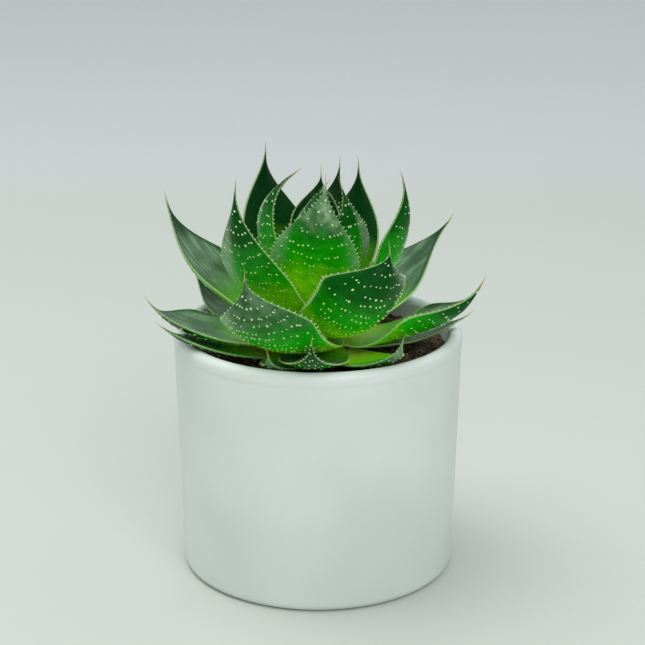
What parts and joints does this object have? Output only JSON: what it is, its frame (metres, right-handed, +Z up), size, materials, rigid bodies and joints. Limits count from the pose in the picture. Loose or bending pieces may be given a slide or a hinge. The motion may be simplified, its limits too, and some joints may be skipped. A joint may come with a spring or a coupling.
{
  "type": "potted succulent",
  "caption": "Rosette succulent with upright toothed fleshy leaves, white-dotted backs and hair-tipped ends, in a plain white cylindrical pot of dark soil.",
  "frame": {"origin": "centre of the pot's flat underside", "axes": "+Z up out of the pot, -Y towards the front of the picture, +X to its right"},
  "size_m": [0.1149, 0.1149, 0.1472],
  "materials": {
    "pot": "matt white glaze",
    "soil": "rough dark potting soil",
    "stem": "matt",
    "leaf": "satin"
  },
  "bodies": {
    "root": {"pot": "pot", "soil": "soil", "stem": "stem", "leaf_01": "leaf", "leaf_02": "leaf", "leaf_03": "leaf", "leaf_04": "leaf", "leaf_05": "leaf", "leaf_06": "leaf", "leaf_07": "leaf", "leaf_08": "leaf", "leaf_09": "leaf", "leaf_10": "leaf", "leaf_11": "leaf", "leaf_12": "leaf", "leaf_13": "leaf", "leaf_14": "leaf", "leaf_15": "leaf", "leaf_16": "leaf", "leaf_17": "leaf", "leaf_18": "leaf", "leaf_19": "leaf", "leaf_20": "leaf", "leaf_21": "leaf", "leaf_22": "leaf", "leaf_23": "leaf", "leaf_24": "leaf", "leaf_25": "leaf", "leaf_26": "leaf", "leaf_27": "leaf", "leaf_28": "leaf"}
  },
  "joints": []
}
